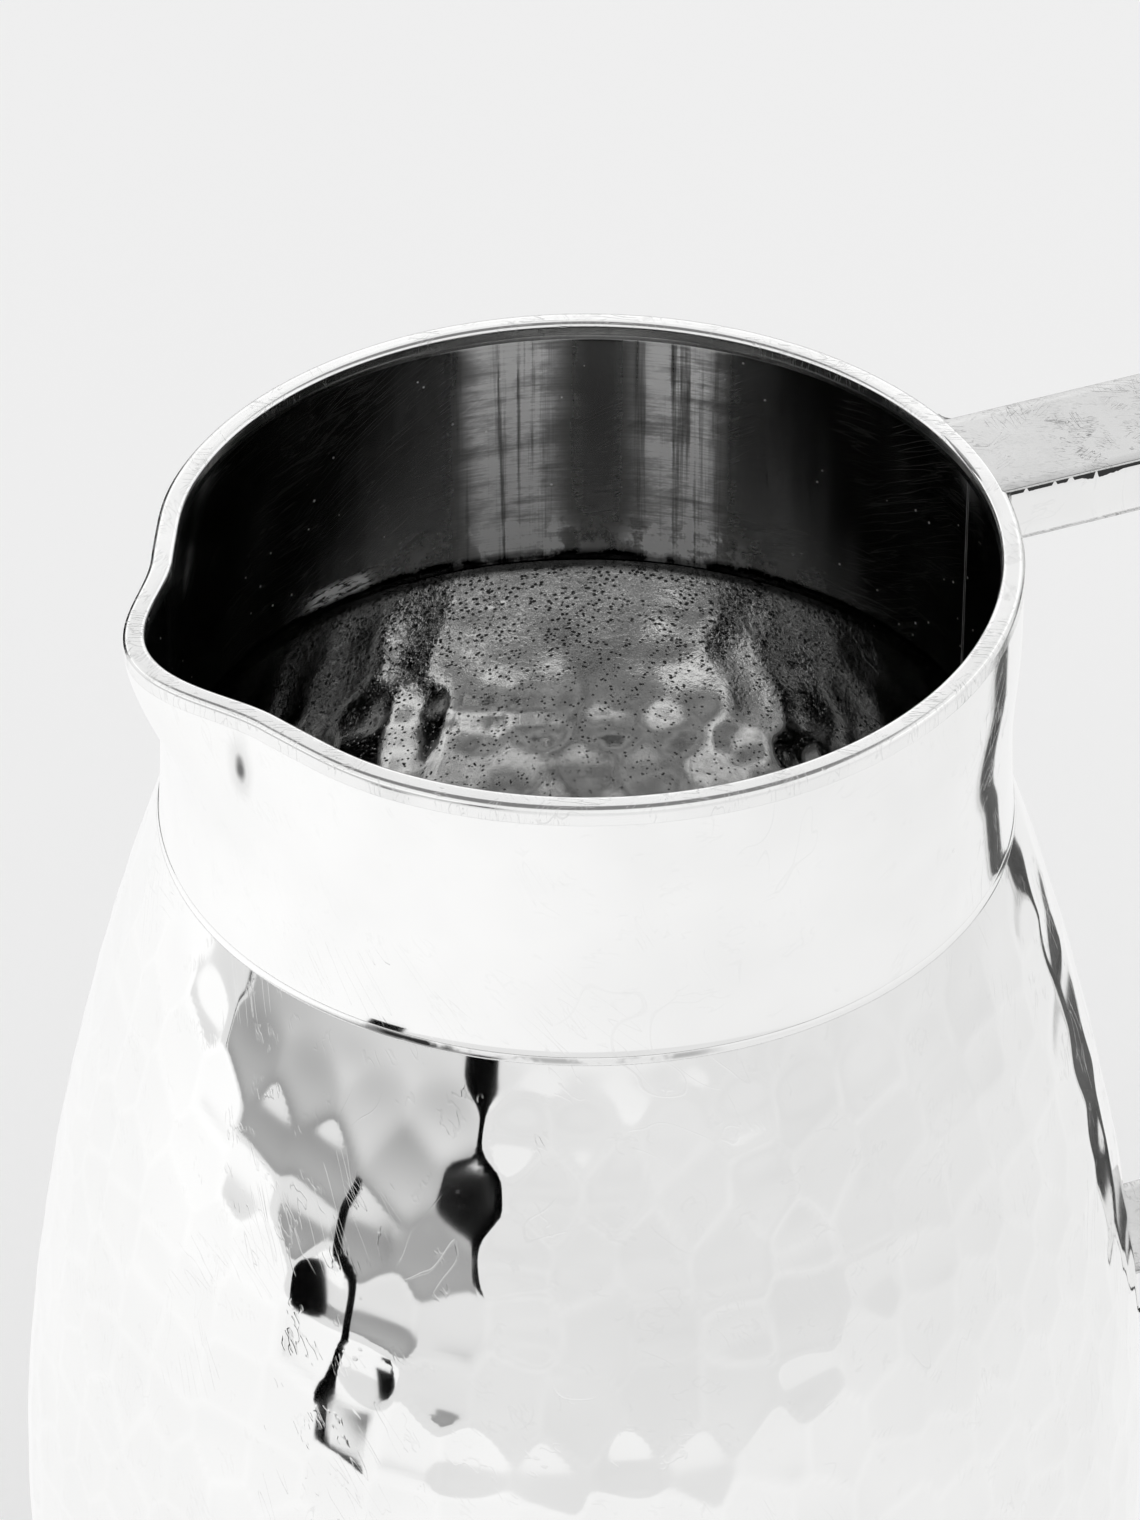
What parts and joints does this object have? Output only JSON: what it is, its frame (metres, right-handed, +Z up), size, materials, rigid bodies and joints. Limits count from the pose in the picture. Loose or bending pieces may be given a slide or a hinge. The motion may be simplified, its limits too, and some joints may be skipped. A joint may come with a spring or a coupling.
{
  "type": "water pitcher",
  "caption": "Hammered silver water pitcher with a pear-shaped bowl, a plain collar with a pinched pouring lip, a thick flat rim and a squared hollow handle, for holding and pouring water.",
  "frame": {"origin": "centre of the underside of the base plate, on the axis of the bowl", "axes": "+Z up along the axis of the bowl, +X out along the handle, -X out along the pouring lip"},
  "size_m": [0.1925, 0.153, 0.21],
  "materials": {
    "hammered_silver": "polished, hammered all over",
    "plain_silver": "polished, finely scratched",
    "rim_silver": "worn satin",
    "handle_silver": "worn satin",
    "base_silver": "worn, scuffed",
    "solder": "filed, dull"
  },
  "bodies": {
    "root": {"bowl": "hammered_silver", "collar": "plain_silver", "rim_band": "rim_silver", "base_plate": "base_silver", "foot_ring": "base_silver", "collar_solder": "solder", "handle_outer_strip": "handle_silver", "handle_inner_strip": "handle_silver", "handle_near_side": "handle_silver", "handle_far_side": "handle_silver", "upper_arm_solder": "solder", "lower_arm_solder": "solder"}
  },
  "joints": []
}
